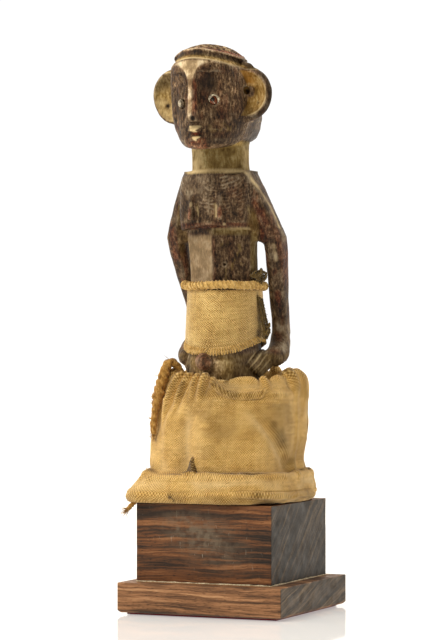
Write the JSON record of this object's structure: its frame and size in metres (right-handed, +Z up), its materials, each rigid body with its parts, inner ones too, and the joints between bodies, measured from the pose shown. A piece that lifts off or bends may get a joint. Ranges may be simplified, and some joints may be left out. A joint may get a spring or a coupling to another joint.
{
  "type": "fertility doll",
  "caption": "Carved wooden standing figure with large cupped ears and hands at its waist, in a cloth waist band and a gathered cloth skirt, on a stepped wooden plinth",
  "frame": {"origin": "centre of the underside of the felt pad, on the surface the plinth stands on", "axes": "+Z up, the doll faces -Y, +X is to the doll's left"},
  "size_m": [0.094, 0.094, 0.304],
  "materials": {
    "carved_wood": "oiled and worn",
    "inlay": "worn bead",
    "band_cloth": "coarse plain weave",
    "skirt_cloth": "coarse plain weave",
    "cord": "twisted and frayed",
    "dark_yarn": "twisted",
    "rosewood": "satin lacquer",
    "felt": "felt",
    "steel": "bright"
  },
  "bodies": {
    "root": {"felt_pad": "felt", "base_slab": "rosewood", "plinth_block": "rosewood", "slab_screw_1": "steel", "slab_screw_2": "steel", "slab_screw_3": "steel", "slab_screw_4": "steel", "mounting_pin_right": "steel", "mounting_pin_left": "steel", "carved_figure": "carved_wood", "eye_inlay_right": "inlay", "eye_inlay_left": "inlay", "waist_band": "band_cloth", "waist_band_cord": "cord", "waist_band_tie": "dark_yarn", "skirt": "skirt_cloth", "skirt_drawstring": "cord", "drawstring_tail": "cord", "hem_cord": "cord"}
  },
  "joints": []
}
